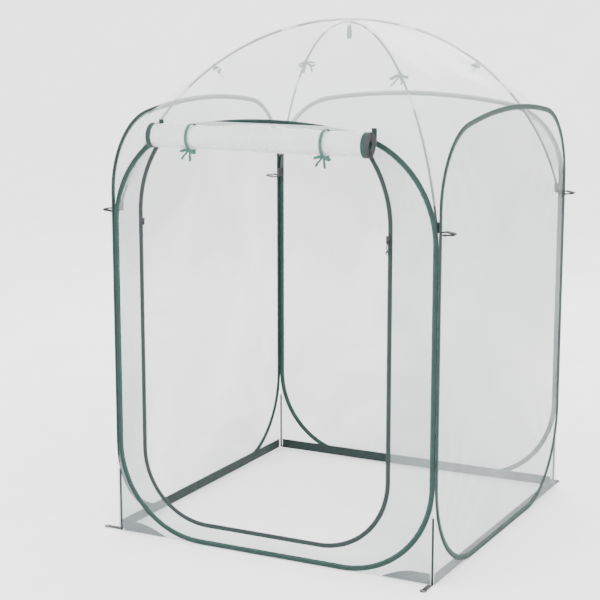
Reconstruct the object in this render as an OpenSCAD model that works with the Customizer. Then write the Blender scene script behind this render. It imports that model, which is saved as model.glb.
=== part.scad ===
// Pop-up greenhouse: four clear film walls, each stretched inside a closed
// spring-steel hoop in a sewn sleeve, under a clear dome roof that two crossed
// glass-fibre poles hold up. The zipped front door is rolled up and tied.
// The walls are hinged at their corner seams and fold flat as a parallelogram.
// Millimetres. Origin: middle of the footprint on the ground, +X right seen
// from the front, +Y towards the back, +Z up.

/* [Footprint and heights] */
// Outer width and depth over the hoop sleeves
body_w = 1220; // [1100:10:1400]
// Height of the front hoop's crown (sleeve centreline)
front_top = 1472; // [1400:1:1560]
// Height of the side and back hoops' crowns (sleeve centreline)
side_top = 1500; // [1420:1:1580]
// Height of the corner seam where roof and walls meet
eaves_h = 1190; // [1120:5:1200]
// Height of the roof film at the apex
apex_h = 1797; // [1700:1:1900]

/* [Hoops] */
// Width of the hoop sleeve, in the plane of its wall
sleeve_w = 18; // [14:1:22]
// Thickness of the hoop sleeve, across its wall
sleeve_t = 8; // [7:0.5:10]
// Radius of the hoops' lower corners
foot_r = 320; // [260:10:360]
// Radius of the front hoop's upper corners
front_r = 350; // [300:10:380]
// Radius of the side and back hoops' upper corners
side_r = 262; // [220:2:300]
// Diameter of the spring-steel wire
wire_d = 4; // [3:0.5:4]

/* [Film] */
// Thickness of the clear wall film
film_t = 1; // [0.8:0.1:1.2]
// Height of the woven sill bands
sill_h = 36; // [30:1:60]

/* [Door] */
// Half width of the doorway, to the middle of the zip
door_half = 466; // [420:1:480]
// How far the doorway's middle lies from the wall's middle
door_shift = -27; // [-40:1:0]
// Height of the zip's lower run above the ground
door_foot = 72; // [60:1:100]
// Radius of the doorway's lower corners
door_r = 250; // [200:10:280]
// Radius of the rolled-up door
roll_r = 44; // [35:1:48]

/* [Poles] */
// Diameter of the glass-fibre dome poles
pole_d = 8; // [7:0.5:8.5]
// Sections in each pole
pole_sections = 5; // [3:2:5]

/* [Hidden] */
$fn = 64;

leaf = "#2f6059";        // woven green binding
film = [0.93, 0.95, 0.96, 0.35];
steel = "#9aa0a3";
black = "#1b1c1e";
rod = "#4b4f52";

half_out = body_w / 2;
plane = half_out - sleeve_t / 2;              // centre plane of every wall
hinge_gap = 0.6;                              // between neighbouring hoops
face_half = plane - sleeve_t / 2 - sleeve_w / 2 - hinge_gap;  // front and back hoops
flank_half = half_out - sleeve_w / 2;         // side hoops
hoop_foot = sleeve_w / 2;                     // lower centreline height
front_crown = 10;                             // half angle of the crown arc
side_crown = 9;
wire_offset = 3;                              // wire sits outboard in the sleeve
slot_depth = 5;                               // the film's edge seats here
bend_step = 9;                                // degrees between a hoop's stations
slot_gap = 0.4;
arc_step = 3;

// Corners in the order front-left, front-right, back-right, back-left
CORNERS = [[-1, -1], [1, -1], [1, 1], [-1, 1]];

function crown_radius(half, r, crown) = (half - r * (1 - sin(crown))) / sin(crown);
function crown_rise(half, r, crown) =
  r * cos(crown) + crown_radius(half, r, crown) * (1 - cos(crown));
// Height on a hoop's arch where its upright ends
function upright_top(half, top, r, crown) = top - crown_rise(half, r, crown);
// Points along an arc, from angle a0 to a1
function arc_points(cx, cz, r, a0, a1) =
  let (n = max(1, ceil(abs(a1 - a0) / arc_step)))
  [for (i = [0 : n]) let (a = a0 + (a1 - a0) * i / n) [cx + r * cos(a), cz + r * sin(a)]];
// Outline of a hoop's inside, inset from the sleeve's centreline
function hoop_outline(half, top, r, crown, inset) =
  let (z1 = upright_top(half, top, r, crown), cr = crown_radius(half, r, crown))
  concat(
    arc_points(half - foot_r, hoop_foot + foot_r, foot_r - inset, -90, 0),
    arc_points(half - r, z1, r - inset, 0, 90 - crown),
    arc_points(0, top - cr, cr - inset, 90 - crown, 90 + crown),
    arc_points(-half + r, z1, r - inset, 90 + crown, 180),
    arc_points(-half + foot_r, hoop_foot + foot_r, foot_r - inset, 180, 270));

// A straight stretch of a section (x = outboard, y = across) from p to q in XZ
module straight_run(p, q) {
  d = q - p;
  translate([p[0], 0, p[1]])
    rotate([0, -atan2(d[1], d[0]), 0])
      rotate([0, 90, 0]) linear_extrude(norm(d)) children();
}
// An arc stretch of a section about c in XZ, from angle a0, through sweep degrees
module arc_run(c, r, a0, sweep) {
  translate([c[0], 0, c[1]]) rotate([90, 0, 0]) rotate([0, 0, a0])
    rotate_extrude(angle = sweep) translate([r, 0]) children();
}
// One stretch of a hoop's route: [x, z, outward angle] at each station of an arc
function arc_stations(cx, cz, r, a0, a1) =
  let (n = ceil((a1 - a0) / bend_step))
  [for (i = [0 : n]) let (a = a0 + (a1 - a0) * i / n) [cx + r * cos(a), cz + r * sin(a), a]];
// The closed route of a hoop standing in the XZ plane, starting at its foot
function hoop_route(half, top, r, crown) =
  let (z1 = upright_top(half, top, r, crown), cr = crown_radius(half, r, crown),
       foot_z = hoop_foot + foot_r)
  concat(
    arc_stations(half - foot_r, foot_z, foot_r, -90, 0),
    arc_stations(half - r, z1, r, 0, 90 - crown),
    [for (i = [-2 : 2]) let (a = 90 + i * crown / 3) [cr * cos(a), top - cr + cr * sin(a), a]],
    arc_stations(-half + r, z1, r, 90 + crown, 180),
    arc_stations(-half + foot_r, foot_z, foot_r, 180, 270));
// Sweeps a section of points [outboard, across] round a closed route
module hoop_sweep(route, section) {
  n = len(route);
  m = len(section);
  points = [for (p = route, q = section)
    [p[0] + q[0] * cos(p[2]), q[1], p[1] + q[0] * sin(p[2])]];
  faces = [for (i = [0 : n - 1], j = [0 : m - 1])
    let (a = i * m, b = ((i + 1) % n) * m, k = (j + 1) % m)
    [a + j, b + j, b + k, a + k]];
  polyhedron(points, faces, convexity = 6);
}
// Sewn sleeve: a folded tape, round the wire outboard and open inboard for the film
SLEEVE = let (w = sleeve_w / 2, t = sleeve_t / 2, g = (film_t + slot_gap) / 2, b = wire_d / 2 + 0.3)
  concat(
    [[-w, g], [-w, t - 1.4], [-w + 1.6, t], [w - 4, t], [w - 1, t - 1.2], [w, 1.6],
     [w, -1.6], [w - 1, -t + 1.2], [w - 4, -t], [-w + 1.6, -t], [-w, -t + 1.4], [-w, -g]],
    [for (a = [-156 : 52 : 156]) [wire_offset + b * cos(a), b * sin(a)]]);
WIRE = [for (a = [0 : 45 : 315]) [wire_offset + wire_d / 2 * cos(-a), wire_d / 2 * sin(-a)]];
// Puts something modelled in the XZ plane onto a wall
module on_front() translate([0, -plane, 0]) children();
module on_back() translate([0, plane, 0]) children();
module on_right() translate([plane, 0, 0]) rotate([0, 0, 90]) children();
module on_left() translate([-plane, 0, 0]) rotate([0, 0, 90]) children();

module hoop(half, top, r, crown, section) {
  hoop_sweep(hoop_route(half, top, r, crown), section);
}
module front_hoop(section) hoop(face_half, front_top, front_r, front_crown, section);
module back_hoop(section) hoop(face_half, side_top, side_r, side_crown, section);
module flank_hoop(section) hoop(flank_half, side_top, side_r, side_crown, section);
module film_sheet(half, top, r, crown) {
  rotate([90, 0, 0]) linear_extrude(film_t, center = true)
    polygon(hoop_outline(half, top, r, crown, sleeve_w / 2 - slot_depth + 1));
}

// ---- Doorway -------------------------------------------------------------
door_top_r = 400;         // the zip's upper corners bend gently in to the crown
door_top_sweep = 36;
door_knee = 1150;         // where the zip's upper bends begin
zip_y = -plane - film_t / 2 - 1.1;   // centre of the zip tape's thickness

// The zip's route, moved outboard by off, as an open line of points
function door_line(off) = concat(
  arc_points(-door_half + door_top_r, door_knee, door_top_r + off, 180 - door_top_sweep, 180),
  arc_points(-door_half + door_r, door_foot + door_r, door_r + off, 180, 270),
  arc_points(door_half - door_r, door_foot + door_r, door_r + off, 270, 360),
  arc_points(door_half - door_top_r, door_knee, door_top_r + off, 0, door_top_sweep));

// Sweeps a section (x = outboard) along the zip's route
module door_run() {
  foot_z = door_foot + door_r;
  straight_run([-door_half + door_r, door_foot], [door_half - door_r, door_foot]) children();
  for (m = [0, 1]) mirror([m, 0, 0]) {
    arc_run([door_half - door_r, foot_z], door_r, -90, 90) children();
    straight_run([door_half, foot_z], [door_half, door_knee]) children();
    arc_run([door_half - door_top_r, door_knee], door_top_r, 0, door_top_sweep) children();
  }
}
// Opening cut in the front film: the doorway, open up to the crown
module door_cut() {
  polygon(concat(door_line(1), [[door_half - 160, front_top + 60], [-door_half + 160, front_top + 60]]));
}
module front_film() {
  difference() {
    film_sheet(face_half, front_top, front_r, front_crown);
    translate([door_shift, 0, 0]) rotate([90, 0, 0])
      linear_extrude(film_t * 4, center = true) door_cut();
  }
}

zip_reach = 7;            // tape either side of the zip's middle
coil_in = -8.3;           // the coil lies just past the tape's inner edge
coil_r = 1.5;

// Rolled-up door, outside the crown of the front hoop
roll_half = 400;
roll_x = -10;
roll_y = -plane - sleeve_t / 2 - roll_r - 3.6;
roll_z = front_top - 55;
hem_w = 34;
tie_x = 245;
module roll_body() {
  // The roll is a wound sheet: a fat tube with an open core
  translate([roll_x - roll_half + hem_w, roll_y, roll_z]) rotate([0, 90, 0])
    difference() {
      cylinder(r = roll_r, h = 2 * (roll_half - hem_w));
      translate([0, 0, -1]) cylinder(r = roll_r * 0.3, h = 2 * roll_half);
    }
}
module roll_hems() {
  for (s = [-1, 1])
    translate([roll_x + s * (roll_half - hem_w / 2), roll_y, roll_z]) rotate([0, 90, 0])
      difference() {
        cylinder(r = roll_r + 1, h = hem_w, center = true);
        cylinder(r = roll_r * 0.3, h = hem_w + 2, center = true);
        // end grooves between the roll's turns
        for (k = [0.5, 0.74])
          translate([0, 0, s * hem_w / 2])
            rotate_extrude() translate([roll_r * k, 0]) square([2.4, 12], center = true);
      }
}
// The stretch of door between the front hoop's crown and the roll
module door_header() {
  drop_y = -plane - sleeve_t / 2 - 0.8;
  translate([roll_x - roll_half, drop_y - 1, front_top - 50]) cube([2 * roll_half, 1, 46]);
}
// A tape loop round the rolled door, with its bow in front
module door_tie(side) {
  loop_r = roll_r + 1.2;
  translate([roll_x + side * tie_x, roll_y, roll_z]) {
    rotate([0, 90, 0]) difference() {
      cylinder(r = loop_r, h = 12, center = true);
      cylinder(r = loop_r - 1, h = 14, center = true);
    }
    translate([0, -12, -loop_r - 4]) cube([18, 12, 9], center = true);
    for (s = [-1, 1])
      translate([0, -12, -loop_r - 4]) rotate([0, s * 32, 0])
        translate([s * 27, 0, 0]) cube([36, 2, 10], center = true);
  }
}

// ---- Zip sliders and pulls -----------------------------------------------
slider_rest = 1118;       // parked under the upper bend
slider_len = 24;
slider_reach = door_half + coil_in;
pivot_drop = 6;           // the pull's pivot lies below the slider's middle
pivot_out = 7.2;          // and in front of the coil
pivot_r = 1.1;
module zip_slider(side) {
  translate([door_shift + side * slider_reach, zip_y, slider_rest])
    mirror([side < 0 ? 1 : 0, 0, 0])
    difference() {
      union() {
        for (y = [-1, 1]) translate([0, y * 3.1, 0]) slider_plate();
        translate([-4.6, 0, 0]) cube([3, 6.2, slider_len * 0.8], center = true);
        // bridge that carries the pull
        for (x = [-1, 1]) translate([x * 4.4, -5.9, -pivot_drop])
          cube([1.8, 4.8, 4.4], center = true);
        translate([0, -pivot_out, -pivot_drop]) rotate([0, 90, 0])
          cylinder(r = pivot_r, h = 9, center = true, $fn = 32);
      }
      cylinder(r = coil_r + 0.5, h = slider_len + 2, center = true, $fn = 32);
    }
}
module slider_plate() {
  // shield-shaped plate, wide at the shoulders and narrow at the heel
  rotate([90, 0, 0]) linear_extrude(1.6, center = true)
    polygon([[-6.5, 12], [-3, slider_len / 2], [3, 12], [6.5, 8], [4.4, -10],
             [2.5, -12], [-2.5, -12], [-4.4, -10], [-6.5, 8]]);
}
module zip_pull(side) {
  translate([door_shift + side * slider_reach, zip_y - pivot_out, slider_rest - pivot_drop])
    rotate([90, 0, 0]) difference() {
      union() {
        rotate([0, 90, 0]) cylinder(r = 2.6, h = 6, center = true, $fn = 32);
        translate([0, -17, 0]) cube([6, 34, 2], center = true);
        translate([0, -36, 0]) cylinder(r = 6, h = 2.4, center = true);
      }
      rotate([0, 90, 0]) cylinder(r = pivot_r + 0.08, h = 10, center = true, $fn = 32);
      translate([0, -37, 0]) cylinder(r = 3, h = 5, center = true);
      translate([0, -18, 0]) cube([2.6, 18, 5], center = true);
    }
}

// ---- Roof ----------------------------------------------------------------
roof_half = plane - 6;    // plan half-width of the film, inside the sleeves
roof_t = 2;               // measured upright
gore_gap = 0.4;           // keeps the four gores clear of each other
pole_end = 586;           // plan x and y of a pole's tip
pole_low = 1165;          // height of a pole's tip
pole_gap = pole_d / 2 + 5;
upper_apex = apex_h - pole_gap;
lower_apex = upper_apex - pole_d - 1.5;
pole_run = pole_end * sqrt(2);

function arch_radius(run, rise) = (run * run + rise * rise) / (2 * rise);
upper_r = arch_radius(pole_run, upper_apex - pole_low);
lower_r = arch_radius(pole_run, lower_apex - pole_low);
// Film height over a pole, a share t of the way from apex to corner
function ridge(t) =
  let (r = upper_r + pole_gap, d = t * roof_half * sqrt(2))
  max(eaves_h, upper_apex - upper_r + (d < r ? sqrt(r * r - d * d) : 0));
// Film height down the middle of a gore, from the apex to the crown
function gore_middle(t, top) = apex_h - (apex_h - top) * pow(t, 1.5);
// Height of a hoop's centreline at x
function hoop_height(x, half, top, r, crown) =
  let (ax = abs(x), cr = crown_radius(half, r, crown), z1 = upright_top(half, top, r, crown),
       join = half - r + r * sin(crown))
  ax < join ? top - cr + sqrt(cr * cr - ax * ax)
            : z1 + sqrt(max(0, r * r - pow(ax - half + r, 2)));
function eave(x, half, top, r, crown) =
  abs(x) >= half ? eaves_h : max(eaves_h, hoop_height(x, half, top, r, crown));
// Gore station positions across, close together where the hoop turns down
SPREAD = [for (i = [-9 : 9]) sin(i * 10)];
STEPS = [for (i = [0 : 12]) i / 12];
function gore_point(t, s, half, top, r, crown, lift) =
  let (edge = eave(s * roof_half, half, top, r, crown),
       share = (edge - eaves_h) / (top - eaves_h),
       mix = (1 - t) * (1 - s * s) + t * share)
  [s * t * roof_half, -t * roof_half - gore_gap,
   ridge(t) + (gore_middle(t, top) - ridge(t)) * mix + lift];
module gore(half, top, r, crown) {
  m = len(SPREAD);
  n = len(STEPS);
  apex = [for (lift = [0, roof_t]) [0, -gore_gap, apex_h + lift]];
  // rows 1..n-1, lower skin then upper skin; the apex is one point per skin
  pts = concat(apex,
    [for (lift = [0, roof_t]) for (i = [1 : n - 1]) for (j = [0 : m - 1])
      gore_point(STEPS[i], SPREAD[j], half, top, r, crown, lift)]);
  skin = m * (n - 1);
  function at(k, i, j) = 2 + k * skin + (i - 1) * m + j;
  faces = concat(
    [for (j = [0 : m - 2]) [1, at(1, 1, j), at(1, 1, j + 1)]],
    [for (j = [0 : m - 2]) [0, at(0, 1, j + 1), at(0, 1, j)]],
    [for (i = [1 : n - 2], j = [0 : m - 2]) each [
      [at(1, i, j), at(1, i + 1, j), at(1, i + 1, j + 1)],
      [at(1, i, j), at(1, i + 1, j + 1), at(1, i, j + 1)],
      [at(0, i, j), at(0, i + 1, j + 1), at(0, i + 1, j)],
      [at(0, i, j), at(0, i, j + 1), at(0, i + 1, j + 1)]]],
    [for (j = [0 : m - 2]) each [
      [at(1, n - 1, j), at(0, n - 1, j), at(0, n - 1, j + 1)],
      [at(1, n - 1, j), at(0, n - 1, j + 1), at(1, n - 1, j + 1)]]],
    [[0, at(0, 1, 0), at(1, 1, 0)], [0, at(1, 1, 0), 1],
     [0, at(1, 1, m - 1), at(0, 1, m - 1)], [0, 1, at(1, 1, m - 1)]],
    [for (i = [1 : n - 2]) each [
      [at(0, i, 0), at(0, i + 1, 0), at(1, i + 1, 0)], [at(0, i, 0), at(1, i + 1, 0), at(1, i, 0)],
      [at(0, i, m - 1), at(1, i + 1, m - 1), at(0, i + 1, m - 1)],
      [at(0, i, m - 1), at(1, i, m - 1), at(1, i + 1, m - 1)]]]);
  polyhedron(pts, [for (f = faces) [f[2], f[1], f[0]]], convexity = 4);
}

// ---- Dome poles ----------------------------------------------------------
function pole_sweep(r) = asin(pole_run / r);
ferrule_half = 2;         // degrees either side of a joint
// A round section swept along a pole between two angles from the apex
module pole_arc(r, apex, a0, a1) {
  translate([0, 0, apex - r]) rotate([90, 0, 0]) rotate([0, 0, 90 + a0])
    rotate_extrude(angle = a1 - a0) translate([r, 0]) children();
}
module pole_turn(upper) rotate([0, 0, upper ? 45 : -45]) children();
module ring_section(outer, inner) {
  difference() {
    circle(outer, $fn = 24);
    circle(inner, $fn = 24);
  }
}
module pole_rods(r, apex) {
  full = pole_sweep(r);
  step = 2 * full / pole_sections;
  for (i = [0 : pole_sections - 1])
    pole_arc(r, apex, -full + i * step + 0.04, -full + (i + 1) * step - 0.04)
      ring_section(pole_d / 2, 1.4);
}
module pole_ferrules(r, apex) {
  full = pole_sweep(r);
  step = 2 * full / pole_sections;
  for (i = [1 : pole_sections - 1])
    pole_arc(r, apex, -full + i * step - ferrule_half, -full + i * step + ferrule_half)
      ring_section(pole_d / 2 + 1, pole_d / 2 + 0.1);
}
module pole_cord(r, apex) {
  full = pole_sweep(r);
  pole_arc(r, apex, -full, full) circle(1, $fn = 24);
}
// Moulded cap on each end of a pole, standing in the corner's pocket
module pole_tips(r, apex) {
  full = pole_sweep(r);
  for (s = [0, 1]) rotate([0, 0, s * 180])
    translate([0, 0, apex - r]) rotate([0, full, 0]) translate([0, 0, r]) rotate([0, 90, 0]) {
      cylinder(r = pole_d / 2 + 0.6, h = 4);
      translate([0, 0, 4]) cylinder(r1 = pole_d / 2 + 0.6, r2 = 2.5, h = 4);
    }
}

// ---- Corner trim ---------------------------------------------------------
module at_corner(c) {
  // local frame: origin on the corner's inside, +X points out along the diagonal
  translate([c[0] * pole_end, c[1] * pole_end, 0]) rotate([0, 0, atan2(c[1], c[0])]) children();
}
pocket_top = pole_low + 16;
module pocket(c) {
  at_corner(c) {
    difference() {
      // webbing folded round the tip into a cup
      translate([-1, 0, pocket_top - 17]) cube([22, 24, 34], center = true);
      translate([-2.1, 0, pocket_top - 13]) cube([16.8, 19, 34], center = true);
    }
    // tongue sewn out through the corner seam
    translate([11.5, 0, pocket_top - 24]) cube([3, 14, 20], center = true);
  }
}
// Folded webbing loop outside the corner for a guy line
module guy_loop(c) {
  translate([c[0] * half_out, c[1] * (half_out - 20), eaves_h - 42])
    mirror([c[0] < 0 ? 1 : 0, 0, 0])
      difference() {
        union() {
          translate([0.5, -12, -9]) cube([12, 24, 18]);
          translate([12.5, 0, 0]) rotate([90, 0, 0])
            linear_extrude(24, center = true) polygon([[0, -9], [30, -2], [30, 4], [0, 9]]);
        }
        translate([12, 0, 0]) rotate([90, 0, 0])
          linear_extrude(26, center = true)
            polygon([[-8, -6.5], [0, -6.5], [26, -0.5], [26, 2.5], [0, 6.5], [-8, 6.5]]);
      }
}
eye_r = 7;
stake_x = half_out - 18;  // the tabs are sewn on beside the corners
loop_out = 56;            // from the wall to the stake eye
// Webbing tab on the ground with a stake eye at its end, pointing along -Y
module stake_loop() {
  difference() {
    union() {
      translate([-9, -loop_out + 7, 0.2]) cube([18, loop_out - 7, 2.4]);
      translate([0, -loop_out, 0]) cylinder(r = eye_r + 5, h = 4);
    }
    translate([0, -loop_out, -1]) cylinder(r = eye_r, h = 6);
  }
}
blunt = 40;               // where the corner films' thin tips are cut off
// Clear film that closes a hoop's two lower corners, down to the corner seams
module corner_film(half) {
  reach = half + sleeve_w / 2 - 1.2;
  rotate([90, 0, 0]) linear_extrude(film_t, center = true)
    for (m = [0, 1]) mirror([m, 0])
      difference() {
        translate([half - foot_r + blunt, 0.5])
          square([reach - half + foot_r - blunt, foot_r - blunt]);
        translate([half - foot_r, hoop_foot + foot_r])
          circle(foot_r + sleeve_w / 2 + 0.2, $fn = 128);
      }
}
// Folded tape over the upright edges of the corner films
module seam_binding(half) {
  tape = 7;
  for (m = [0, 1]) mirror([m, 0, 0])
    translate([half + sleeve_w / 2 - tape, 0, 1]) difference() {
      translate([0, -1.5, 0]) cube([tape, 3, seam_h]);
      translate([-1, -film_t / 2 - 0.1, -1]) cube([tape, film_t + 0.2, seam_h + 2]);
    }
}
seam_h = 226;
band_t = 1.2;
band_out = sleeve_t / 2 + 0.3 + band_t / 2;   // from the wall plane, clear of the sleeve
band_end = 14;            // the bands stop short of the corner hinges
// Woven band along the foot of a wall, on its inner side (inner is +1 or -1 in Y)
module sill_band(half, inner) {
  reach = half + sleeve_w / 2 - band_end;
  translate([0, inner * band_out, 1 + sill_h / 2])
    cube([2 * reach, band_t, sill_h], center = true);
}
// Woven patches at the feet of the front wall, sloping down to the doorway
module corner_patches(half) {
  reach = half + sleeve_w / 2 - band_end;
  for (m = [0, 1]) mirror([m, 0, 0])
    translate([reach, band_out + band_t / 2, 1]) rotate([90, 0, 0]) linear_extrude(band_t)
      polygon([[0, 0], [0, sill_h], [-60, sill_h], [-150, 18], [-170, 0]]);
}
// Tape tied round a pole, with two short tails
module pole_tie(r, apex, a) {
  translate([0, 0, apex - r]) rotate([0, a, 0]) translate([0, 0, r]) {
    rotate([0, 90, 0]) difference() {
      cylinder(r = pole_d / 2 + 1.7, h = 12, center = true, $fn = 32);
      cylinder(r = pole_d / 2 + 0.5, h = 14, center = true, $fn = 32);
    }
    translate([0, 0, -pole_d / 2 - 6]) cube([12, 9, 8], center = true);
    for (s = [-1, 1])
      translate([0, s * 22, -pole_d / 2 - 9]) rotate([s * -24, 0, 0]) cube([10, 40, 1.6], center = true);
  }
}
tie_angle = 35;

color(leaf) on_front() front_hoop(SLEEVE);  // front_hoop_sleeve
color(leaf) on_right() flank_hoop(SLEEVE);  // right_hoop_sleeve
color(leaf) on_back() back_hoop(SLEEVE);  // back_hoop_sleeve
color(leaf) on_left() flank_hoop(SLEEVE);  // left_hoop_sleeve
color(steel) on_front() front_hoop(WIRE);  // front_hoop_wire
color(steel) on_right() flank_hoop(WIRE);  // right_hoop_wire
color(steel) on_back() back_hoop(WIRE);  // back_hoop_wire
color(steel) on_left() flank_hoop(WIRE);  // left_hoop_wire

color(film) on_front() front_film();  // front_wall_film
color(film) on_right() film_sheet(flank_half, side_top, side_r, side_crown);  // right_wall_film
color(film) on_back() film_sheet(face_half, side_top, side_r, side_crown);  // back_wall_film
color(film) on_left() film_sheet(flank_half, side_top, side_r, side_crown);  // left_wall_film

color(film) gore(face_half, front_top, front_r, front_crown);  // front_roof_gore
color(film) rotate([0, 0, 90]) gore(flank_half, side_top, side_r, side_crown);  // right_roof_gore
color(film) rotate([0, 0, 180]) gore(face_half, side_top, side_r, side_crown);  // back_roof_gore
color(film) rotate([0, 0, 270]) gore(flank_half, side_top, side_r, side_crown);  // left_roof_gore

color(film) on_front() corner_film(face_half);  // front_corner_film
color(film) on_right() corner_film(flank_half);  // right_corner_film
color(film) on_back() corner_film(face_half);  // back_corner_film
color(film) on_left() corner_film(flank_half);  // left_corner_film
color(leaf) on_front() corner_patches(face_half);  // front_corner_patches
color(leaf) on_right() sill_band(flank_half, 1);  // right_sill_band
color(leaf) on_back() sill_band(face_half, -1);  // back_sill_band
color(leaf) on_left() sill_band(flank_half, -1);  // left_sill_band
color(leaf) on_front() seam_binding(face_half);  // front_seam_binding
color(leaf) on_back() seam_binding(face_half);  // back_seam_binding

color(leaf) translate([door_shift, zip_y, 0]) door_run()  // door_zip_tape
    square([2 * zip_reach - 0.6, 1.2], center = true);
color(black) translate([door_shift, zip_y, 0]) door_run()  // door_zip_coil
    translate([coil_in, 0]) circle(coil_r, $fn = 24);
color(film) roll_body();  // door_roll
color(leaf) roll_hems();  // door_roll_hems
color(film) door_header();
color(leaf) door_tie(-1);  // left_door_tie
color(leaf) door_tie(1);  // right_door_tie
color(black) zip_slider(-1);  // left_zip_slider
color(black) zip_slider(1);  // right_zip_slider
color(black) zip_pull(-1);  // left_zip_pull
color(black) zip_pull(1);  // right_zip_pull

color(rod) pole_turn(true) pole_rods(upper_r, upper_apex);  // upper_pole_rods
color(steel) pole_turn(true) pole_ferrules(upper_r, upper_apex);  // upper_pole_ferrules
color(black) pole_turn(true) pole_cord(upper_r, upper_apex);  // upper_pole_cord
color(black) pole_turn(true) pole_tips(upper_r, upper_apex);  // upper_pole_tips
color(rod) pole_turn(false) pole_rods(lower_r, lower_apex);  // lower_pole_rods
color(steel) pole_turn(false) pole_ferrules(lower_r, lower_apex);  // lower_pole_ferrules
color(black) pole_turn(false) pole_cord(lower_r, lower_apex);  // lower_pole_cord
color(black) pole_turn(false) pole_tips(lower_r, lower_apex);  // lower_pole_tips

color(black) pocket(CORNERS[0]);  // front_left_pocket
color(black) pocket(CORNERS[1]);  // front_right_pocket
color(black) pocket(CORNERS[2]);  // back_right_pocket
color(black) pocket(CORNERS[3]);  // back_left_pocket
color(black) guy_loop(CORNERS[0]);  // front_left_guy_loop
color(black) guy_loop(CORNERS[1]);  // front_right_guy_loop
color(black) guy_loop(CORNERS[2]);  // back_right_guy_loop
color(black) guy_loop(CORNERS[3]);  // back_left_guy_loop
color(leaf) translate([-half_out, -stake_x, 0]) rotate([0, 0, -90]) stake_loop();  // front_left_stake_loop
color(leaf) translate([stake_x, -half_out, 0]) stake_loop();  // front_right_stake_loop
color(leaf) translate([stake_x, half_out, 0]) rotate([0, 0, 180]) stake_loop();  // back_right_stake_loop
color(leaf) translate([-stake_x, half_out, 0]) rotate([0, 0, 180]) stake_loop();  // back_left_stake_loop
color(leaf) {  // pole_ties
    for (s = [-1, 1]) pole_turn(true) pole_tie(upper_r, upper_apex, s * tie_angle);
    for (s = [-1, 1]) pole_turn(false) pole_tie(lower_r, lower_apex, s * tie_angle);
  }
color(leaf) translate([0, 0, lower_apex - pole_d / 2 - 1]) {  // apex_tie
    translate([0, 0, -4]) cube([14, 14, 6], center = true);
    translate([0, 0, -30]) difference() {
      cube([12, 20, 46], center = true);
      cube([14, 16.5, 42], center = true);
    }
  }
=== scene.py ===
"""Pop-up greenhouse: film walls in sprung hoops, a film dome on crossed poles, a door rolled up.

Metres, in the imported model's frame. Surfaces are worked out as whole arrays on a grid of two
parameters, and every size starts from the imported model's own boxes.
"""

import bmesh
import bpy
import numpy as np
from bpy.props import FloatProperty, FloatVectorProperty, IntProperty, PointerProperty
from mathutils import Matrix, Vector


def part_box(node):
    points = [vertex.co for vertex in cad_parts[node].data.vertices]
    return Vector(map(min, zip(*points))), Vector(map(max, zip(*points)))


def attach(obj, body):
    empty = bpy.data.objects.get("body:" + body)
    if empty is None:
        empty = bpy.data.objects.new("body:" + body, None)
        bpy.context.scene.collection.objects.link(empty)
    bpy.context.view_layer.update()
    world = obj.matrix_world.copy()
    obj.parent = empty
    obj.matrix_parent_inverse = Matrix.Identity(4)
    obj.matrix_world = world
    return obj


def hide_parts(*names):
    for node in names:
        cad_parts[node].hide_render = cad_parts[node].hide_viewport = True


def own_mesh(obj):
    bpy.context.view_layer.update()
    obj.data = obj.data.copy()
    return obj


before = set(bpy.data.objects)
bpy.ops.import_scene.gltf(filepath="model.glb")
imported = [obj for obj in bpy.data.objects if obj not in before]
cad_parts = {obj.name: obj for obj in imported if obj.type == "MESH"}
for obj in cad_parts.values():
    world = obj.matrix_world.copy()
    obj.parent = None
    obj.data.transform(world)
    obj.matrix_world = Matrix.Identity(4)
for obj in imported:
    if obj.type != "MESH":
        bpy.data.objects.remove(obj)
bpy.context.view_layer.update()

bl_info = {
    "name": "Pop-up greenhouse",
    "version": (1, 0, 0),
    "blender": (4, 5, 0),
    "location": "View3D > Sidebar > Greenhouse",
    "description": "Builds a pop-up greenhouse with film walls, a domed roof and a rolled door",
    "category": "Add Mesh",
}

MM = 0.001
TAU = 2 * np.pi


def low(node):
    """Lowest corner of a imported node."""
    return np.array(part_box(node)[0], float)


def high(node):
    """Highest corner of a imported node."""
    return np.array(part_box(node)[1], float)


# ---------------------------------------------------------------- measures taken from the frame
FRONT_Y = (low("front_hoop_sleeve")[1] + high("front_hoop_sleeve")[1]) / 2
SLEEVE_W = 18 * MM
SLEEVE_T = high("front_hoop_sleeve")[1] - low("front_hoop_sleeve")[1]
FACE_HALF = high("front_hoop_sleeve")[0] - SLEEVE_W / 2
FLANK_HALF = high("right_hoop_sleeve")[1] - SLEEVE_W / 2
FRONT_TOP = high("front_hoop_sleeve")[2] - SLEEVE_W / 2
SIDE_TOP = high("right_hoop_sleeve")[2] - SLEEVE_W / 2
APEX_H = high("front_roof_gore")[2] - 2 * MM
EAVES_H = low("right_roof_gore")[2]
ROOF_HALF = -low("front_roof_gore")[1] - 0.4 * MM
FOOT_R = 320 * MM
HOOP_FOOT = SLEEVE_W / 2
POLE_R = 4 * MM
TIP_REACH = 586 * MM
TIP_RADIUS = TIP_REACH * np.sqrt(2)     # a pole tip from the axis, in plan
TIP_H = 1165 * MM
POLE_SECTIONS = 5
FILM_GAP = 2 * MM               # between a pole and the roof's film
FILM_T = 0.5 * MM
SILL_H = 36 * MM
SILL_T = 1.2 * MM
PATCH_W = 170 * MM              # a corner patch's length
ROUTE_STEP = 12 * MM            # between points along a hoop or the zip

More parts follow.
